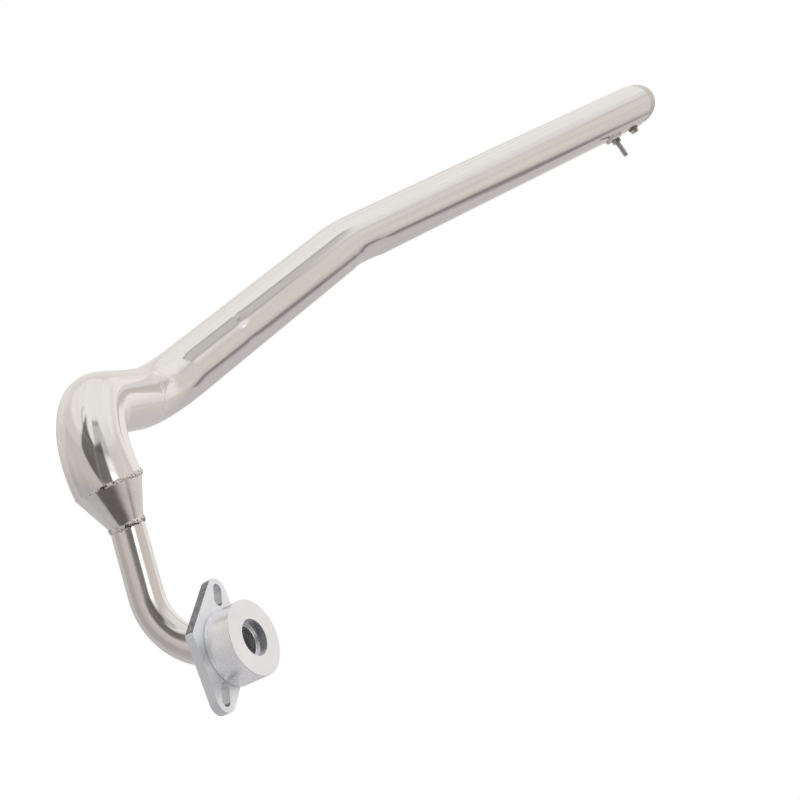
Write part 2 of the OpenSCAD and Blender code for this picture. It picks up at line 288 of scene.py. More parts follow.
class MeshMaker:
    """Gathers points, faces and unbent coordinates, then makes one object of them."""

    def __init__(self) -> None:
        """Starts with nothing gathered."""
        self.points: list[Vector] = []
        self.faces: list[tuple[int, ...]] = []
        self.straight: list[tuple[float, float, float]] = []

    def ring(self, points: list[Vector], straight: list[tuple[float, float, float]] | None = None) -> list[int]:
        """Adds a ring of points and returns their indices."""
        first = len(self.points)
        self.points += points
        self.straight += straight if straight else [tuple(p) for p in points]
        return list(range(first, first + len(points)))

    def skin(self, rings: list[list[int]], loop: bool = False) -> None:
        """Joins rings in order with strips of faces, and in a loop the last one to the first."""
        for low, high in zip(rings, rings[1:] + rings[:1] if loop else rings[1:]):
            for k in range(len(low)):
                nxt = (k + 1) % len(low)
                self.faces.append((low[k], low[nxt], high[nxt], high[k]))

    def caps(self, rings: list[list[int]]) -> None:
        """Closes the first ring and the last, each with a fan round its middle."""
        for loop, flip in ((rings[0], True), (rings[-1], False)):
            hub = self.ring([sum((self.points[i] for i in loop), Vector()) / len(loop)])[0]
            for one, two in zip(loop, loop[1:] + loop[:1]):
                self.faces.append((hub, two, one) if flip else (hub, one, two))

    def build(self, name: str, crease: float = 35.0) -> bpy.types.Object:
        """Makes the object.

        Args:
            name: Name of the object and of its mesh.
            crease: Angle in degrees above which an edge stays sharp.

        Returns:
            The new object, linked to the scene.
        """
        mesh = bpy.data.meshes.new(name)
        mesh.from_pydata([tuple(p) for p in self.points], [], self.faces)
        mesh.validate()
        layer = mesh.attributes.new("straight", "FLOAT_VECTOR", "POINT")
        layer.data.foreach_set("vector", [c for p in self.straight for c in p])
        mesh.polygons.foreach_set("use_smooth", [True] * len(mesh.polygons))
        mesh.set_sharp_from_angle(angle=math.radians(crease))
        obj = bpy.data.objects.new(name, mesh)
        bpy.context.scene.collection.objects.link(obj)
        outward(obj)
        return obj


def outward(obj: bpy.types.Object) -> None:
    """Turns an object's faces so that they look out of it."""
    work = bmesh.new()
    work.from_mesh(obj.data)
    bmesh.ops.recalc_face_normals(work, faces=work.faces)
    work.to_mesh(obj.data)
    work.free()


def shift_to_plane(point: Vector, ahead: Vector, origin: Vector, normal: Vector) -> Vector:
    """Slides a point along a direction onto a plane."""
    return point + ahead * ((origin - point).dot(normal) / ahead.dot(normal))


@dataclass
class TubeWall:
    """A hollow tube swept along a route, with each end cut by a plane.

    Attributes:
        name: Name of the piece.
        route: Middle line.
        first: Length along the route where it begins.
        last: Length along the route where it ends.
        outer: Outer radius as a function of the length along the route and the angle round it.
        thickness: Thickness of the wall as a function of length.
        start_plane: Point and normal of the first end's plane, or none for a square end.
        end_plane: Point and normal of the last end's plane, or none for a square end.
        around: Points in each ring.
        step: Spacing of the rings on the straights.
        bend_step: Spacing of the rings in the bends.
        blend: Length over which a cut end's slant dies away.
        lip: Size of the rounding at each end's edges.
    """

    name: str
    route: Route
    first: float
    last: float
    outer: Callable[[float, float], float]
    thickness: float
    start_plane: tuple[Vector, Vector] | None = None
    end_plane: tuple[Vector, Vector] | None = None
    around: int = 128
    step: float = 12 * MM
    bend_step: float = 2.2 * MM
    blend: float = 60 * MM
    lip: float = 0.25 * MM

    def _place(self, station: Station, angle: float, radius: float) -> Vector:
        """A point of the wall, moved along the tube so that both ends lie on their planes."""
        point = station.place + station.around(angle) * radius
        for plane, edge, sign in ((self.start_plane, self.first, 1), (self.end_plane, self.last, -1)):
            if plane is None:
                continue
            share = 1 - clamp(abs(station.run - edge) / self.blend)
            if share > 0:
                end, ahead = self.route.point(edge)
                offset = end + station.around(angle) * radius
                target = shift_to_plane(offset, ahead, *plane)
                point += station.ahead * ((target - offset).dot(ahead) * share)
        return point

    def build(self) -> bpy.types.Object:
        """Builds the closed wall: outside, rounded ends and inside."""
        maker = MeshMaker()
        stations = self.route.stations(self.first, self.last, self.step, self.bend_step)
        angles = [2 * math.pi * k / self.around for k in range(self.around)]

        def loop(station: Station, inset: float, pull: float = 0.0) -> list[int]:
            """One ring, its radius inset from the outside and pulled back along the tube."""
            points, straight = [], []
            for angle in angles:
                radius = self.outer(station.run, angle) - inset
                points.append(self._place(station, angle, radius) + station.ahead * pull)
                straight.append((station.run, radius * math.cos(angle), radius * math.sin(angle)))
            return maker.ring(points, straight)

        head, tail = stations[0], stations[-1]
        loops = [loop(head, self.lip, 0.0), loop(head, 0.0, self.lip)]
        loops += [loop(s, 0.0) for s in stations[1:-1]]
        loops += [loop(tail, 0.0, -self.lip), loop(tail, self.lip, 0.0)]
        loops += [loop(tail, self.thickness - self.lip, 0.0), loop(tail, self.thickness, -self.lip)]
        inner = stations[1:-1][::-1]
        loops += [loop(s, self.thickness) for s in inner]
        loops += [loop(head, self.thickness, self.lip), loop(head, self.thickness - self.lip, 0.0)]
        maker.skin(loops, loop=True)
        return maker.build(self.name)


def ways_round(axis: Vector, first: Vector | None, count: int) -> list[tuple[float, Vector]]:
    """Angles round an axis with their unit directions, beginning at a given direction or at any."""
    side = (first - axis * first.dot(axis)).normalized() if first else axis.orthogonal().normalized()
    lift = axis.cross(side)
    angles = (2 * math.pi * k / count for k in range(count))
    return [(angle, side * math.cos(angle) + lift * math.sin(angle)) for angle in angles]


def lathe(name: str, origin: Vector, axis: Vector, profile: list[tuple[float, float]],
          around: int = 96, shape: Callable[[float, float], float] | None = None,
          closed: bool = True, first: Vector | None = None) -> bpy.types.Object:
    """Turns a profile round an axis.

    Args:
        name: Name of the piece.
        origin: Where the profile's height is zero.
        axis: Unit direction of the axis.
        profile: Points of (radius, height), in order.
        around: Points in each ring.
        shape: Changes a radius by the angle round the axis.
        closed: True if the profile's last point joins its first.
        first: Direction of angle zero.

    Returns:
        The new object.
    """
    maker = MeshMaker()
    ways = ways_round(axis, first, around)
    rings = [maker.ring([origin + axis * height + way * (shape(radius, angle) if shape else radius)
                         for angle, way in ways]) for radius, height in profile]
    maker.skin(rings, closed)
    if not closed:
        maker.caps(rings)
    return maker.build(name)


def hexagon(flats: float) -> Callable[[float, float], float]:
    """A rule that keeps a radius inside a hexagon of the given width across flats."""

    def rule(radius: float, angle: float) -> float:
        """The smaller of the radius and the hexagon's edge at this angle."""
        part = (angle + math.pi / 6) % (math.pi / 3) - math.pi / 6
        return min(radius, flats / 2 / math.cos(part))

    return rule


# ------------------------------------------------------------------ finishes


class Graph:
    """A short way to write a node tree."""

    def __init__(self, tree: bpy.types.NodeTree) -> None:
        """Takes a tree and empties it."""
        self.tree = tree
        tree.nodes.clear()

    def add(self, kind: str) -> bpy.types.Node:
        """A new node."""
        return self.tree.nodes.new("ShaderNode" + kind)

    def feed(self, socket: Socket, value: Socket | float | Colour) -> None:
        """Links another socket to this one, or sets this one to a plain value."""
        if isinstance(value, Socket):
            self.tree.links.new(value, socket)
        else:
            socket.default_value = (*value, 1) if socket.type == "RGBA" else value

    def math(self, kind: str, *terms: Socket | float) -> Socket:
        """One step of arithmetic."""
        node = self.add("Math")
        node.operation = kind
        for socket, term in zip(node.inputs, terms):
            self.feed(socket, term)
        return node.outputs["Value"]

    def vector(self, kind: str, one: Socket, two: Socket | Vector, result: str = "Vector") -> Socket:
        """One step of arithmetic on vectors or colours."""
        node = self.add("VectorMath")
        node.operation = kind
        self.feed(node.inputs[0], one)
        self.feed(node.inputs[1], two)
        return node.outputs[result]

    def spread(self, value: Socket, ends: tuple[float, float], source: tuple[float, float] = (0.3, 0.7),
               kind: str = "LINEAR") -> Socket:
        """A number from one range spread over another, held inside it."""
        node = self.add("MapRange")
        node.interpolation_type = kind
        for name, number in zip(("From Min", "From Max", "To Min", "To Max"), (*source, *ends)):
            node.inputs[name].default_value = number
        self.feed(node.inputs["Value"], value)
        return node.outputs["Result"]

    def ramp(self, fac: Socket, stops: list[tuple[float, Colour]]) -> Socket:
        """A colour ramp."""
        node = self.add("ValToRGB")
        steps = node.color_ramp.elements
        steps.remove(steps[-1])
        steps[0].position = stops[0][0]
        steps[0].color = (*stops[0][1], 1)
        for place, colour in stops[1:]:
            steps.new(place).color = (*colour, 1)
        self.feed(node.inputs["Fac"], fac)
        return node.outputs["Color"]

    def mix(self, fac: Socket, one: Socket | Colour, two: Socket | Colour) -> Socket:
        """A mix of two colours."""
        node = self.add("Mix")
        node.data_type = "RGBA"
        self.feed(node.inputs["Factor"], fac)
        for socket, value in zip([s for s in node.inputs if s.type == "RGBA"], (one, two)):
            self.feed(socket, value)
        return [s for s in node.outputs if s.type == "RGBA"][0]

    def blend(self, fac: Socket, one: Socket, two: Socket) -> Socket:
        """A mix of two shaders."""
        node = self.add("MixShader")
        for socket, value in zip(node.inputs, (fac, one, two)):
            self.feed(socket, value)
        return node.outputs[0]


class MetalNodes(Graph):
    """A material's node tree, with its shader and output."""

    def __init__(self, name: str, metallic: float = 1.0) -> None:
        """Makes the material.

        Args:
            name: Name of the material.
            metallic: How metallic its shader is.
        """
        self.material = bpy.data.materials.new(name)
        self.material.use_nodes = True
        super().__init__(self.material.node_tree)
        self.output = self.add("OutputMaterial")
        self.shader = self.add("BsdfPrincipled")
        self.shader.inputs["Metallic"].default_value = metallic
        self.feed(self.output.inputs["Surface"], self.shader.outputs["BSDF"])

    def dress(self, **values: Socket | float | Colour) -> None:
        """Feeds the shader's sockets, named with _ for a space."""
        for name, value in values.items():
            self.feed(self.shader.inputs[name.replace("_", " ")], value)

    def noise(self, scale: Colour, detail: float, roughness: float = 0.55, straight: bool = False) -> Socket:
        """Noise at scaled coordinates: the object's own, or those of the unbent tube."""
        mapping = self.add("Mapping")
        mapping.inputs["Scale"].default_value = scale
        if straight:
            source = self.add("Attribute")
            source.attribute_name = "straight"
        else:
            source = self.add("TexCoord")
        self.feed(mapping.inputs["Vector"], source.outputs["Vector" if straight else "Object"])
        node = self.add("TexNoise")
        node.inputs["Scale"].default_value = 1.0
        node.inputs["Detail"].default_value = detail
        node.inputs["Roughness"].default_value = roughness
        self.feed(node.inputs["Vector"], mapping.outputs["Vector"])
        return node.outputs["Fac"]

    def bump(self, height: Socket, strength: float, distance: float) -> None:
        """Bump on the shader's normal."""
        node = self.add("Bump")
        node.inputs["Strength"].default_value = strength
        node.inputs["Distance"].default_value = distance
        self.feed(node.inputs["Height"], height)
        self.dress(Normal=node.outputs["Normal"])


@dataclass(frozen=True)
class PolishedTube:
    """Mirror-polished stainless tube: faint long polishing lines and soft waves.

    Attributes:
        name: Name of the material.
        light: Colour where it is brightest.
        dark: Colour of the faint darker lines.
        gloss: Lowest and highest roughness.
        wave: Height of the soft waves, in metres.
        lines: How strongly the polishing lines stand out.
    """

    name: str = "polished_tube"
    light: Colour = (0.86, 0.85, 0.84)
    dark: Colour = (0.79, 0.775, 0.76)
    gloss: tuple[float, float] = (0.07, 0.14)
    wave: float = 0.00025
    lines: float = 1.0

    def make(self) -> bpy.types.Material:
        """Builds the material."""
        n = MetalNodes(self.name)
        streak = n.noise((3.0, 220.0, 220.0), 5.0, 0.6, straight=True)
        patch = n.noise((14.0, 30.0, 30.0), 2.0, straight=True)
        low, high = self.gloss
        rough = n.math("ADD", n.spread(streak, (0.0, (high - low) * 0.6)),
                       n.spread(patch, (low, low + (high - low) * 0.4)))
        n.dress(Base_Color=n.ramp(streak, [(0.35, self.dark), (0.6, self.light)]), Roughness=rough)
        n.bump(n.math("ADD", patch, n.math("MULTIPLY", streak, 0.02 * self.lines)), 1.0, self.wave)
        return n.material


@dataclass(frozen=True)
class SatinMetal:
    """Satin metal with soft clouds of colour and fine tool marks.

    Attributes:
        name: Name of the material.
        light: Colour of the brighter clouds.
        dark: Colour of the darker clouds.
        rough: Lowest and highest roughness.
        marks: How fine the tool marks are along each axis, per metre, and their detail.
        clouds: The same for the clouds.
        metallic: How metallic it is.
        relief: Strength and height of the marks.
    """

    name: str
    light: Colour
    dark: Colour
    rough: tuple[float, float]
    marks: tuple[Colour, float]
    clouds: tuple[Colour, float]
    metallic: float
    relief: tuple[float, float]

    def make(self) -> bpy.types.Material:
        """Builds the material."""
        n = MetalNodes(self.name, self.metallic)
        marks, cloud = n.noise(*self.marks), n.noise(*self.clouds)
        n.dress(Base_Color=n.ramp(cloud, [(0.3, self.dark), (0.7, self.light)]),
                Roughness=n.spread(marks, self.rough))
        n.bump(marks, *self.relief)
        return n.material


@dataclass(frozen=True)
class SawnPlate:
    """Zinc-grey plate: satin faces, one rough sawn flank, and the other flanks and the slot walls darkened as
    painted shade.
    """

    name: str = "sawn_plate"
    face: Colour = (0.90, 0.92, 0.96)
    sawn: Colour = (0.30, 0.30, 0.31)
    # Colour of the flanks and slot walls: the face's zinc darkened, as painted shade.
    edge: Colour = (0.72, 0.75, 0.79)

    def make(self) -> bpy.types.Material:
        """Builds the material."""
        n = MetalNodes(self.name, 0.8)
        parts = n.add("SeparateXYZ")
        n.feed(parts.inputs[0], n.add("NewGeometry").outputs["True Normal"])
        flank = n.math("LESS_THAN", n.math("ABSOLUTE", parts.outputs["Y"]), 0.7)
        upper_left = n.math("MULTIPLY", n.math("LESS_THAN", parts.outputs["X"], -0.35),
                            n.math("GREATER_THAN", parts.outputs["Z"], 0.1))
        sawn = n.math("MULTIPLY", flank, upper_left)
        grit = n.noise((500.0, 260.0, 500.0), 5.0, 0.7)
        cloud = n.noise((70.0, 70.0, 70.0), 3.0)

        def shades(fac: Socket, low: tuple[float, float], high: tuple[float, float], colour: Colour) -> Socket:
            """A ramp between two shades of one colour, each given by its place and its share."""
            return n.ramp(fac, [(place, tuple(c * share for c in colour)) for place, share in (low, high)])

        # Every flank, slot walls included, takes the darker edge colour as painted shade; the upper-left flanks
        # then take the sawn colour.
        colour = n.mix(flank, shades(cloud, (0.35, 0.93), (0.65, 1.0), self.face),
                       shades(cloud, (0.3, 0.9), (0.7, 1.0), self.edge))
        colour = n.mix(sawn, colour, shades(grit, (0.3, 0.55), (0.7, 1.7), self.sawn))
        n.dress(Base_Color=colour,
                Roughness=n.math("ADD", n.spread(cloud, (0.34, 0.42)), n.math("MULTIPLY", sawn, 0.3)))
        n.bump(n.math("MULTIPLY", grit, n.math("ADD", sawn, 0.05)), 0.8, 0.0006)
        return n.material


@dataclass(frozen=True)
class WeldMetal:
    """Bright weld metal with pits, dark scale in the hollows and a straw tint."""

    name: str = "weld_metal"
    light: Colour = (0.88, 0.86, 0.83)
    dark: Colour = (0.10, 0.09, 0.085)
    rough: tuple[float, float] = (0.10, 0.36)

    def make(self) -> bpy.types.Material:
        """Builds the material."""
        n = MetalNodes(self.name)
        fine = n.noise((700.0, 700.0, 700.0), 5.0, 0.65)
        both = n.math("MULTIPLY", n.math("ADD", fine, n.noise((190.0, 190.0, 190.0), 3.0)), 0.5)
        n.dress(Base_Color=n.ramp(both, [(0.42, self.dark), (0.50, self.light)]),
                Roughness=n.spread(fine, self.rough))
        n.bump(both, 1.0, 0.0014)
        return n.material


@dataclass(frozen=True)
class PlatedFastener:
    """Plated hardware: small clouds, darker in the scratches."""

    name: str
    light: Colour
    dark: Colour
    rough: tuple[float, float] = (0.22, 0.36)

    def make(self) -> bpy.types.Material:
        """Builds the material."""
        n = MetalNodes(self.name)
        fine = n.noise((420.0, 420.0, 420.0), 4.0)
        n.dress(Base_Color=n.ramp(fine, [(0.35, self.dark), (0.6, self.light)]),
                Roughness=n.spread(fine, self.rough))
        n.bump(fine, 0.3, 0.0001)
        return n.material


class Finish(Enum):
    """The finishes that the pieces wear."""

    TUBE = PolishedTube()
    HEADER = PolishedTube("header_tube_metal", (0.88, 0.86, 0.84), (0.70, 0.68, 0.66), (0.12, 0.24), 0.0002, 6.0)
    COLLAR = SatinMetal("satin_collar", (0.90, 0.91, 0.93), (0.82, 0.83, 0.86), (0.25, 0.29),
                        ((26.0, 700.0, 26.0), 3.0), ((30.0, 30.0, 30.0), 2.0), 0.85, (0.2, 0.000008))
    PLATE = SawnPlate()
    WELD = WeldMetal()
    SHEET = SatinMetal("satin_sheet", (0.74, 0.70, 0.66), (0.68, 0.64, 0.595), (0.42, 0.55),
                       ((260.0, 260.0, 260.0), 4.0), ((40.0, 40.0, 40.0), 3.0), 0.75, (0.4, 0.0001))
    BRASS = PlatedFastener("yellow_plating", (0.74, 0.68, 0.57), (0.52, 0.46, 0.36))
    WASHER = PlatedFastener("dark_washer", (0.34, 0.33, 0.32), (0.18, 0.17, 0.17), (0.4, 0.55))
    STEEL = PlatedFastener("zinc_fastener", (0.56, 0.55, 0.54), (0.34, 0.33, 0.33), (0.14, 0.26))
    SADDLE = PlatedFastener("saddle_metal", (0.72, 0.71, 0.71), (0.58, 0.57, 0.57), (0.16, 0.28))


class Wardrobe:
    """Makes each finish once and dresses pieces with it."""

    def __init__(self) -> None:
        """Starts with no finish made."""
        self.made: dict[Finish, bpy.types.Material] = {}

    def metal(self, finish: Finish) -> bpy.types.Material:
        """The finish's material, made the first time."""
        if finish not in self.made:
            self.made[finish] = finish.value.make()
        return self.made[finish]

    def redress(self, node: str, finish: Finish, nodes: dict[str, bpy.types.Object]) -> None:
        """Puts a finish in the slots of a CAD node that stays."""
        for entry in nodes[node].material_slots:
            entry.material = self.metal(finish)
        LOG.info("%s keeps its CAD shape and wears %s", node, finish.name.lower())

    def fit(self, obj: bpy.types.Object, finish: Finish, slot: str, *nodes: str) -> None:
        """Dresses a new piece, lets it ride, and puts it in the place of its CAD nodes."""
        obj.data.materials.append(self.metal(finish))
        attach(obj, BODY)
        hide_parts(*nodes)
        LOG.info("%s made with %d faces", obj.name, len(obj.data.polygons))


# ------------------------------------------------------------------ sub-assemblies


@dataclass
class TubeWork:
    """The header, cone, elbow and long tube."""

    plan: Plan
    neck_depth: float = 0.05
    neck_half: float = 8 * MM
    neck_fade: float = 18 * MM
    neck_shift: float = 15 * MM
    flat_depth: float = 0.7 * MM
    flat_start: float = 25 * MM
    flat_rise: float = 60 * MM
    flat_look: float = 320 * MM
    flat_end: float = 343 * MM
    flat_drop: float = 3 * MM
    flat_side: Vector = field(default_factory=lambda: Vector((-0.62, -0.50, -0.60)).normalized())

    def neck(self, run: float, middle: float) -> float:
        """How much the second bend is drawn in, from 0 to 1."""
        return 1 - smooth((abs(run - middle) - self.neck_half) / self.neck_fade)

    def inside_angle(self, route: Route, first: float) -> float:
        """Angle round the long tube, in its carried frame, of the second bend's inside."""
        low, high = route.bend_runs[2]
        near = [s for s in route.stations(first, route.length, 5 * MM, 2 * MM) if s.run >= low][0]
        inward = route.point(high)[1] - route.point(low)[1]
        return math.atan2(inward.dot(near.lift), inward.dot(near.side))

    def header(self) -> bpy.types.Object:
        """The thin tube from the plate to the cone, cut to both faces."""
        plan = self.plan
        route = plan.header_route()
        axis = plan.cone_axis
        tube = TubeWall("header", route, 0.0, route.length, lambda run, angle: plan.header, plan.wall,
                        (plan.header_start, Vector((0, 1, 0))), (plan.cone_start, axis),
                        around=96, step=6 * MM, bend_step=1.6 * MM, blend=24 * MM)
        return tube.build()

    def cone(self) -> bpy.types.Object:
        """The cone between the two tube sizes."""
        plan = self.plan
        axis = plan.cone_axis
        small, large, wall = plan.header, plan.tube, plan.wall
        profile = [(small, 0.0)]
        profile += [(small + (large - small) * k / 12, plan.cone_length * k / 12) for k in range(1, 13)]
        profile += [(large - wall + (small - large) * k / 12, plan.cone_length * (1 - k / 12)) for k in range(13)]
        return lathe("cone_shell", plan.cone_start, axis, profile, around=128)

    def elbow(self) -> bpy.types.Object:
        """The large elbow, from the cone's weld to the polished seam."""
        plan = self.plan
        route = plan.tube_route()
        seam = route.bend_runs[1][0] - plan.seam_back
        return TubeWall("elbow", route, plan.cone_length, seam, lambda run, angle: plan.tube, plan.wall,
                        step=6 * MM, bend_step=1.6 * MM).build()

    def long_tube(self) -> bpy.types.Object:
        """The long tube with its drawn-in second bend and its slash-cut end."""
        plan = self.plan
        route = plan.tube_route()
        seam = route.bend_runs[1][0] - plan.seam_back
        middle = sum(route.bend_runs[2]) / 2 + self.neck_shift
        inside = self.inside_angle(route, seam)
        near = [s for s in route.stations(seam, route.length, 5 * MM, 2 * MM) if s.run >= self.flat_look][0]
        facing = math.atan2(self.flat_side.dot(near.lift), self.flat_side.dot(near.side))

        def outer(run: float, angle: float) -> float:
            """Outer radius, drawn in on the second bend's inside and pressed flatter after the first."""
            share = max(0.0, math.cos(angle - inside)) ** 1.6
            pressed = smooth((run - seam - self.flat_start) / self.flat_rise)
            pressed *= smooth((self.flat_end + self.flat_drop - run) / (2 * self.flat_drop))
            flat = self.flat_depth * pressed * max(0.0, math.cos(angle - facing)) ** 2
            return plan.tube * (1 - self.neck_depth * share * self.neck(run, middle)) - flat

        return TubeWall("long_tube", route, seam, route.length, outer, plan.wall, None,
                        (plan.tail_end, plan.slash_normal()), step=5 * MM, bend_step=2.0 * MM).build()

    def seam(self) -> bpy.types.Object:
        """The polished ring where elbow and long tube are joined."""
        plan = self.plan
        route = plan.tube_route()
        place, ahead = route.point(route.bend_runs[1][0] - plan.seam_back)
        out, half, crown = plan.tube, 2.2 * MM, 0.3 * MM
        profile = [(out - crown, -half), (out + 0.02 * MM, -half)]
        profile += [(out + crown * math.sin(math.pi * k / 10), half * (0.18 * k - 1)) for k in range(1, 10)]
        profile += [(out + 0.02 * MM, 0.8 * half), (out - crown, 0.8 * half)]
        return lathe("seam_ring", place, ahead, profile, around=128)

    def build(self, wardrobe: Wardrobe) -> None:
        """Builds and dresses the tube work."""
        wardrobe.fit(self.header(), Finish.HEADER, "header", "header_tube")
        wardrobe.fit(self.cone(), Finish.TUBE, "polished", "cone")
        wardrobe.fit(self.elbow(), Finish.TUBE, "polished", "elbow_tube")
        wardrobe.fit(self.long_tube(), Finish.TUBE, "polished", "main_tube")
        wardrobe.fit(self.seam(), Finish.TUBE, "polished", "seam_weld")


@dataclass
class WeldBeads:
    """The rippled beads, each laid where its CAD ring lies.

    Attributes:
        plan: The shared sizes.
        ripple: Length of one ripple.
        stray: How far a ripple strays from its even place, in ripples.
        unevenness: How much the bead's thickness varies from ripple to ripple.
        sway: How far the bead wanders to a side, in half widths.
        grit: How rough its surface is.
    """

    plan: Plan
    ripple: float = 2.1 * MM
    stray: float = 0.9
    unevenness: float = 0.22
    sway: float = 0.6
    grit: float = 0.34

    def bead(self, name: str, places: list[tuple[Vector, Vector, Vector]],
             width: Callable[[float], tuple[float, float]], seed: float, sides: int = 14) -> bpy.types.Object:
        """A closed bead along a ring of places.

        Args:
            name: Name of the piece.
            places: For each step, the point on the joint, the outward and the sideways direction.
            width: Half width and height of the bead by its share of the way round.
            seed: Shifts the noise.
            sides: Points in the bead's section.

        Returns:
            The bead as one closed ring.
        """
        maker = MeshMaker()
        length = sum((places[k][0] - places[k - 1][0]).length for k in range(len(places)))
        ripples = max(8, round(length / self.ripple))
        rings = []
        for index, (middle, out, side) in enumerate(places):
            share = index / len(places)
            half, height = width(share)
            run = share * length
            phase = (share * ripples + noise.noise(Vector((run * 130, seed, 1.7))) * self.stray) % 1.0
            uneven = self.unevenness * noise.noise(Vector((run * 260, 4.0, seed)))
            lap = 0.86 + 0.16 * (1 - phase) ** 1.6 + uneven
            sway = noise.noise(Vector((run * 170 + seed, seed, 0.3))) * self.sway
            points = []
            for k in range(sides):
                angle = 2 * math.pi * k / sides
                grain = Vector((run * 620, math.cos(angle) * 2 + seed, math.sin(angle) * 2))
                rough = 1 + self.grit * noise.noise(grain)
                points.append(middle + side * (half * (math.cos(angle) + sway) * lap * rough)
                              + out * (height * math.sin(angle) * lap * rough))
            rings.append(maker.ring(points))
        maker.skin(rings, loop=True)
        return maker.build(name, crease=60)

    def around_axis(self, origin: Vector, axis: Vector, radius: float, count: int,
                    first: Vector) -> list[tuple[Vector, Vector, Vector]]:
        """Places on a circle: the point, the way out and the way along the axis."""
        return [(origin + way * radius, way, axis) for _, way in ways_round(axis, first, count)]

    def header_ring(self) -> bpy.types.Object:
        """The rough bead at the cone's small end."""
        plan = self.plan
        axis = plan.cone_axis
        foot = plan.cone_start - axis * 0.6 * MM
        places = self.around_axis(foot, axis, plan.header + 0.1 * MM, 420, Vector((-1, -1, 0)))
        return self.bead("cone_foot_bead", places, lambda share: (2.7 * MM, 0.95 * MM), 3.1)

    def cone_ring(self) -> bpy.types.Object:
        """The bead at the cone's large end, ground flush on the side away from the elbow's inside."""
        plan = self.plan
        axis = plan.cone_axis
        rim = plan.cone_start + axis * plan.cone_length
        places = self.around_axis(rim, axis, plan.tube - 0.45 * MM, 720, Vector(StudioView.RIGHT))

        def width(share: float) -> tuple[float, float]:
            """Full on the side towards angle zero, thin on the other."""
            full = smooth(0.5 + 0.9 * math.cos(2 * math.pi * share))
            return (0.6 + 1.3 * full) * MM, (0.6 + 0.55 * full) * MM

        return self.bead("cone_rim_bead", places, width, 7.7)

    def plate_ring(self) -> bpy.types.Object:
        """The rippled bead where the slanting header meets the plate's back."""
        plan = self.plan
        ahead = (plan.header_corner - plan.header_start).normalized()
        back = Vector((0, 1, 0))
        places = []
        for _, way in ways_round(ahead, None, 420):
            edge = shift_to_plane(plan.header_start + way * plan.header, ahead, plan.header_start, back)
            out = Vector((edge.x, 0, edge.z)).normalized()
            middle = edge + (back * 1.3 + out * 1.8) * MM
            places.append((middle, (out + back).normalized(), (back - out).normalized()))
        return self.bead("plate_bead", places, lambda share: (4.0 * MM, 2.9 * MM), 11.3)

    def saddle_ring(self) -> bpy.types.Object:
        """The small bead round the stud's saddle."""
        plan = self.plan
        origin, out, ahead, cross = plan.stud_frame(plan.stud_back)
        length, half, rear = plan.saddle_length, plan.saddle_width / 2, plan.saddle_rear
        corners = [(-rear, -half), (length - rear, -half), (length - rear, half), (-rear, half)]
        places = []
        steps = 40
        for a, b in zip(corners, corners[1:] + corners[:1]):
            for j in range(steps):
                share = j / steps
                x, y = a[0] + (b[0] - a[0]) * share, a[1] + (b[1] - a[1]) * share
                drop = math.sqrt(plan.tube ** 2 - y * y)
                # the saddle's length runs back along the tube
                middle = origin - ahead * x + cross * y + out * (drop + 0.2 * MM)
                away = (-ahead * (x - (length / 2 - rear)) * 0.6 + cross * y).normalized()
                places.append((middle, out, away))
        return self.bead("saddle_bead", places, lambda share: (1.3 * MM, 1.0 * MM), 5.5, sides=10)

    def build(self, wardrobe: Wardrobe) -> None:
        """Builds and dresses the beads."""
        wardrobe.fit(self.header_ring(), Finish.WELD, "weld", "header_weld")
        wardrobe.fit(self.cone_ring(), Finish.WELD, "weld", "cone_weld")
        wardrobe.fit(self.plate_ring(), Finish.WELD, "weld", "foot_weld")
        wardrobe.fit(self.saddle_ring(), Finish.WELD, "weld", "saddle_weld")


@dataclass
class FlangeEnd:
    """Collar and plate, which keep their CAD shapes."""

    nodes: dict[str, bpy.types.Object]

    def build(self, wardrobe: Wardrobe) -> None:
        """Dresses both."""
        wardrobe.redress("collar", Finish.COLLAR, self.nodes)
        wardrobe.redress("flange_plate", Finish.PLATE, self.nodes)


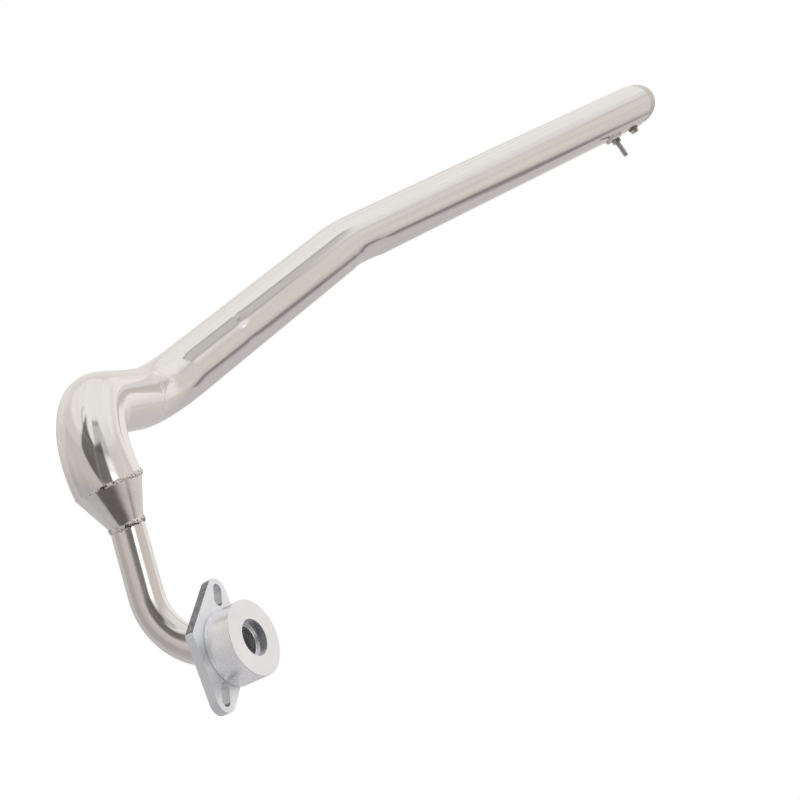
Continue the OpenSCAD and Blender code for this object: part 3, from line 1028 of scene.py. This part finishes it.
@dataclass
class TailEnd:
    """Liner, baffle, screw and stud at the slash-cut end."""

    plan: Plan
    nodes: dict[str, bpy.types.Object]
    thread_turns: int = 22
    thread_depth: float = 0.2 * MM

    def liner(self) -> bpy.types.Object:
        """The dull sleeve that stands out of the long tube."""
        plan = self.plan
        route = plan.tube_route()
        end = plan.tail_end + plan.tail * plan.liner_out
        return TubeWall("liner_sleeve", route, route.length - plan.liner_in, route.length + plan.liner_out,
                        lambda run, angle: plan.liner, plan.liner_wall, None, (end, plan.slash_normal()),
                        around=128, step=4 * MM, blend=36 * MM).build()

    def stud(self) -> bpy.types.Object:
        """The threaded stud."""
        plan = self.plan
        origin, out, ahead, _ = plan.stud_frame(plan.stud_back)
        bottom, top, radius = 25.5 * MM, 51 * MM, 3 * MM
        chamfer, tip = 1.2 * MM, 0.7 * MM
        maker = MeshMaker()
        around, per_turn = 36, 10
        ways = ways_round(out, ahead, around)
        rows = self.thread_turns * per_turn
        rings = []
        for row in range(rows + 1):
            height = bottom + (top - bottom) * row / rows
            taper = smooth((top - height) / chamfer)
            points = []
            for k, (_, way) in enumerate(ways):
                groove = abs((row / per_turn + k / around) % 1.0 * 2 - 1)
                reach = radius - self.thread_depth * groove - (1 - taper) * tip
                points.append(origin + out * height + way * reach)
            rings.append(maker.ring(points))
        maker.skin(rings)
        maker.caps(rings)
        return maker.build("threaded_stud", crease=50)

    def nut(self) -> bpy.types.Object:
        """The hexagon nut at the stud's foot, its corners turned off."""
        plan = self.plan
        origin, out, ahead, _ = plan.stud_frame(plan.stud_back)
        flats, height, bore = 10 * MM, 4.5 * MM, 2.75 * MM
        rim, edge = flats / 2 * 0.97, 0.3 * MM
        steps = ((0.0, 0.0), (0.35 * MM, 0.2 * MM), (0.8 * MM, 0.55 * MM))
        profile = [(bore, edge), (bore + edge, 0.0)] + [(rim + out_by, up_by) for out_by, up_by in steps]
        profile += [(rim + out_by, height - up_by) for out_by, up_by in steps[::-1]]
        profile += [(bore + edge, height), (bore, height - edge)]
        seat = origin + out * (plan.tube + plan.saddle_height)
        return lathe("stud_hexagon", seat, out, profile, 144, hexagon(flats), True, ahead)

    def screw(self) -> bpy.types.Object:
        """The yellow screw: a hexagon head on a round flange, and its shank."""
        plan = self.plan
        origin, out, ahead, _ = plan.stud_frame(plan.screw_back)
        flats, shank, shank_end = 9 * MM, 2.9 * MM, 15.1 * MM
        base = plan.tube + plan.washer
        rim = flats / 2 * 0.97
        head = ((0.5, 0.0), (0.68, 0.2), (0.68, 3.3), (0.3, 3.75), (-0.1, 4.0), (-1.2, 4.0), (-1.6, 3.7))
        profile = [(shank, shank_end - base), (shank, 0.0)] + [(rim + x * MM, y * MM) for x, y in head]
        return lathe("screw_hexagon", origin + out * base, out, profile, 144, hexagon(flats), False, ahead)

    def build(self, wardrobe: Wardrobe) -> None:
        """Builds and dresses the tail's pieces."""
        wardrobe.fit(self.liner(), Finish.SHEET, "satin", "tail_liner")
        wardrobe.fit(self.stud(), Finish.STEEL, "fastener", "hanger_stud")
        wardrobe.fit(self.nut(), Finish.STEEL, "fastener", "stud_nut")
        wardrobe.fit(self.screw(), Finish.BRASS, "brass", "baffle_screw")
        for node in ("baffle_core", "rear_disc", "front_disc", "screw_boss"):
            wardrobe.redress(node, Finish.SHEET, self.nodes)
        wardrobe.redress("screw_washer", Finish.WASHER, self.nodes)
        wardrobe.redress("stud_saddle", Finish.SADDLE, self.nodes)


# ------------------------------------------------------------------ studio


@dataclass(frozen=True)
class Panel:
    """A card or a light box hung in the tent, by its angles from the camera's side.

    Attributes:
        turn: Left and right edge in degrees round the upright, 0 towards the camera and 90 to the right.
        rise: Lower and upper edge in degrees above the level.
        soft: Half the width of the soft edge, in degrees.
        colour: What the tent is multiplied by, or what a lit panel adds.
        lit: True for a light box.
        tilt: How far the lower and upper edges fall for each degree to the right.
    """

    turn: tuple[float, float]
    rise: tuple[float, float]
    soft: float
    colour: tuple[float, float, float]
    lit: bool = False
    tilt: float = 0.0


@dataclass
class StudioView:
    """Camera, light tent, lamps and floor."""

    PLACE = (-0.56235, -0.43622, -0.31911)
    RIGHT = (0.55156, -0.81705, -0.16797)
    UP = (-0.40508, -0.43840, 0.80232)
    LENS = 49.5
    WALL = ((-1.0, (0.60, 0.575, 0.58)), (-0.30, (0.575, 0.55, 0.55)), (-0.16, (0.66, 0.62, 0.59)),
            (0.0, (0.74, 0.695, 0.65)), (0.64, (0.75, 0.705, 0.665)), (0.73, (0.92, 0.89, 0.865)),
            (1.0, (0.93, 0.91, 0.89)))
    PANELS = (
        Panel((-38, 2), (0, 46), 3, (0.24, 0.24, 0.24), tilt=0.75),
        Panel((2, 32), (0, 42), 3, (0.24, 0.25, 0.26), tilt=-0.3),
        Panel((8, 54), (38, 72), 4, (0.64, 0.64, 0.64)),
        Panel((8, 54), (67, 72), 1.5, (0.66, 0.66, 0.66)),
        Panel((54, 100), (38, 58), 8, (0.90, 0.90, 0.91)),
        Panel((-80, 4), (42, 46), 1.5, (0.62, 0.61, 0.60), tilt=0.35),
        Panel((-92, -4), (-60, 26), 2, (0.86, 0.86, 0.87)),
        Panel((-15, 84), (-60, -26), 8, (0.24, 0.225, 0.225)),
        Panel((84, 114), (-20, -12), 4, (0.42, 0.42, 0.43)),
        Panel((122, 179), (4, 40), 9, (1.30, 1.32, 1.36)),
        Panel((-179, -110), (8, 40), 12, (1.14, 1.15, 1.18)),
        Panel((34, 51), (9, 21), 3, (1.8, 1.8, 1.8), lit=True),
        Panel((34, 52), (22, 36), 6, (0.25, 0.28, 0.32), lit=True),
        Panel((-162, -144), (-8, 4), 5, (1.0, 1.0, 1.0), lit=True),
    )
    pitch: float = math.radians(14)
    floor_height: float = -0.46

    def sight(self) -> tuple[Vector, Vector, Vector]:
        """Right, up and back, as the camera sees them."""
        right, up = Vector(self.RIGHT).normalized(), Vector(self.UP)
        up = (up - right * up.dot(right)).normalized()
        return right, up, right.cross(up)

    def camera(self) -> None:
        """The camera at the photograph's viewing angle."""
        data = bpy.data.cameras.new("camera")
        data.lens = self.LENS
        data.sensor_width = 36.0
        data.clip_start = 0.01
        data.clip_end = 20.0
        obj = bpy.data.objects.new("camera", data)
        bpy.context.scene.collection.objects.link(obj)
        spin = Matrix(self.sight()).transposed().to_4x4()
        obj.matrix_world = Matrix.Translation(Vector(self.PLACE)) @ spin
        bpy.context.scene.camera = obj

    def panelled(self, graph: Graph, where: Socket) -> Socket:
        """The tent's colour in the direction of a ray: its wall, then each panel in turn."""
        right, up, back = self.sight()

        def along(direction: Vector) -> Socket:
            """The ray's share along a direction."""
            return graph.vector("DOT_PRODUCT", where, direction, "Value")

        def inside(angle: Socket, edges: tuple[float, float], soft: float) -> Socket:
            """1 between two angles in degrees and 0 outside them, with soft edges."""
            steps = []
            for edge, ends in zip(edges, ((0.0, 1.0), (1.0, 0.0))):
                source = (math.radians(edge - soft), math.radians(edge + soft))
                steps.append(graph.spread(angle, ends, source, "SMOOTHSTEP"))
            return graph.math("MULTIPLY", *steps)

        height = along(up)
        turn = graph.math("ARCTAN2", along(right), along(back))
        rise = graph.math("ARCSINE", height)
        colour = graph.ramp(graph.spread(height, (0.0, 1.0), (-1.0, 1.0)),
                            [((place + 1) / 2, shade) for place, shade in self.WALL])
        for panel in self.PANELS:
            level = graph.math("ADD", rise, graph.math("MULTIPLY", turn, panel.tilt))
            mask = graph.math("MULTIPLY", inside(turn, panel.turn, panel.soft),
                              inside(level, panel.rise, panel.soft))
            kind, off = ("ADD", 0.0) if panel.lit else ("MULTIPLY", 1.0)
            colour = graph.vector(kind, colour, graph.mix(mask, (off, off, off), panel.colour))
        return colour

    def tent(self) -> None:
        """The world: white to the camera, and to the metal a light tent hung with panels."""
        world = bpy.data.worlds.new("tent")
        bpy.context.scene.world = world
        world.use_nodes = True
        graph = Graph(world.node_tree)
        output = graph.add("OutputWorld")

        def sky(colour: Socket | Colour, strength: float = 1.0) -> Socket:
            """One background."""
            node = graph.add("Background")
            graph.feed(node.inputs["Color"], colour)
            node.inputs["Strength"].default_value = strength
            return node.outputs[0]

        shine = sky(self.panelled(graph, graph.add("TexCoord").outputs["Generated"]))
        path = graph.add("LightPath").outputs
        seen = graph.math("MAXIMUM", path["Is Camera Ray"], path["Is Transmission Ray"])
        lit = graph.blend(path["Is Glossy Ray"], sky((0.80, 0.80, 0.81), 0.75), shine)
        graph.feed(output.inputs["Surface"], graph.blend(seen, lit, sky((1.0, 1.0, 1.0))))

    def lamp(self, name: str, place: Vector, target: Vector, size: float, power: float) -> None:
        """A square soft lamp."""
        data = bpy.data.lights.new(name, "AREA")
        data.shape = "SQUARE"
        data.size = size
        data.energy = power
        obj = bpy.data.objects.new(name, data)
        bpy.context.scene.collection.objects.link(obj)
        obj.location = place
        obj.rotation_euler = (target - place).to_track_quat("-Z", "Y").to_euler()
        obj.visible_glossy = False

    def lamps(self) -> None:
        """Two soft lamps, above left and above right."""
        right, up, back = self.sight()
        up = (up * math.cos(self.pitch) + back * math.sin(self.pitch)).normalized()
        front = right.cross(up)
        middle = Vector((0.12, -0.08, 0.3))
        self.lamp("key_lamp", middle - right * 0.9 + up * 1.5 + front * 0.9, middle, 0.9, 16.0)
        self.lamp("fill_lamp", middle + right * 1.5 + up * 1.1 + front * 0.5, middle, 0.9, 7.0)

    def floor(self) -> None:
        """A pale floor under the flange, well below it."""
        maker = MeshMaker()
        reach = 3.0
        maker.faces.append(tuple(maker.ring([Vector((x * reach, y * reach, self.floor_height))
                                             for x, y in ((-1, -1), (1, -1), (1, 1), (-1, 1))])))
        obj = maker.build("floor")
        n = MetalNodes("pale_floor", 0.0)
        n.dress(Base_Color=(0.9, 0.9, 0.9), Roughness=0.9)
        bright = n.add("Emission")
        bright.inputs["Strength"].default_value = 1.0
        seen = n.math("MULTIPLY", n.add("LightPath").outputs["Is Camera Ray"], 0.55)
        n.feed(n.output.inputs["Surface"], n.blend(seen, n.shader.outputs[0], bright.outputs[0]))
        obj.data.materials.append(n.material)
        obj.visible_glossy = False

    def build(self) -> None:
        """Sets up the whole studio."""
        bpy.context.scene.view_settings.view_transform = "Standard"
        self.camera()
        self.tent()
        self.lamps()
        self.floor()


# ------------------------------------------------------------------ run


def main() -> None:
    """Builds the dressed pipe in its studio."""
    logging.basicConfig(level=logging.INFO, format="%(message)s")
    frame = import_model()
    plan = Plan()
    wardrobe = Wardrobe()
    StudioView().build()
    TubeWork(plan).build(wardrobe)
    WeldBeads(plan).build(wardrobe)
    FlangeEnd(frame["nodes"]).build(wardrobe)
    TailEnd(plan, frame["nodes"]).build(wardrobe)


if __name__ == "__main__":
    main()
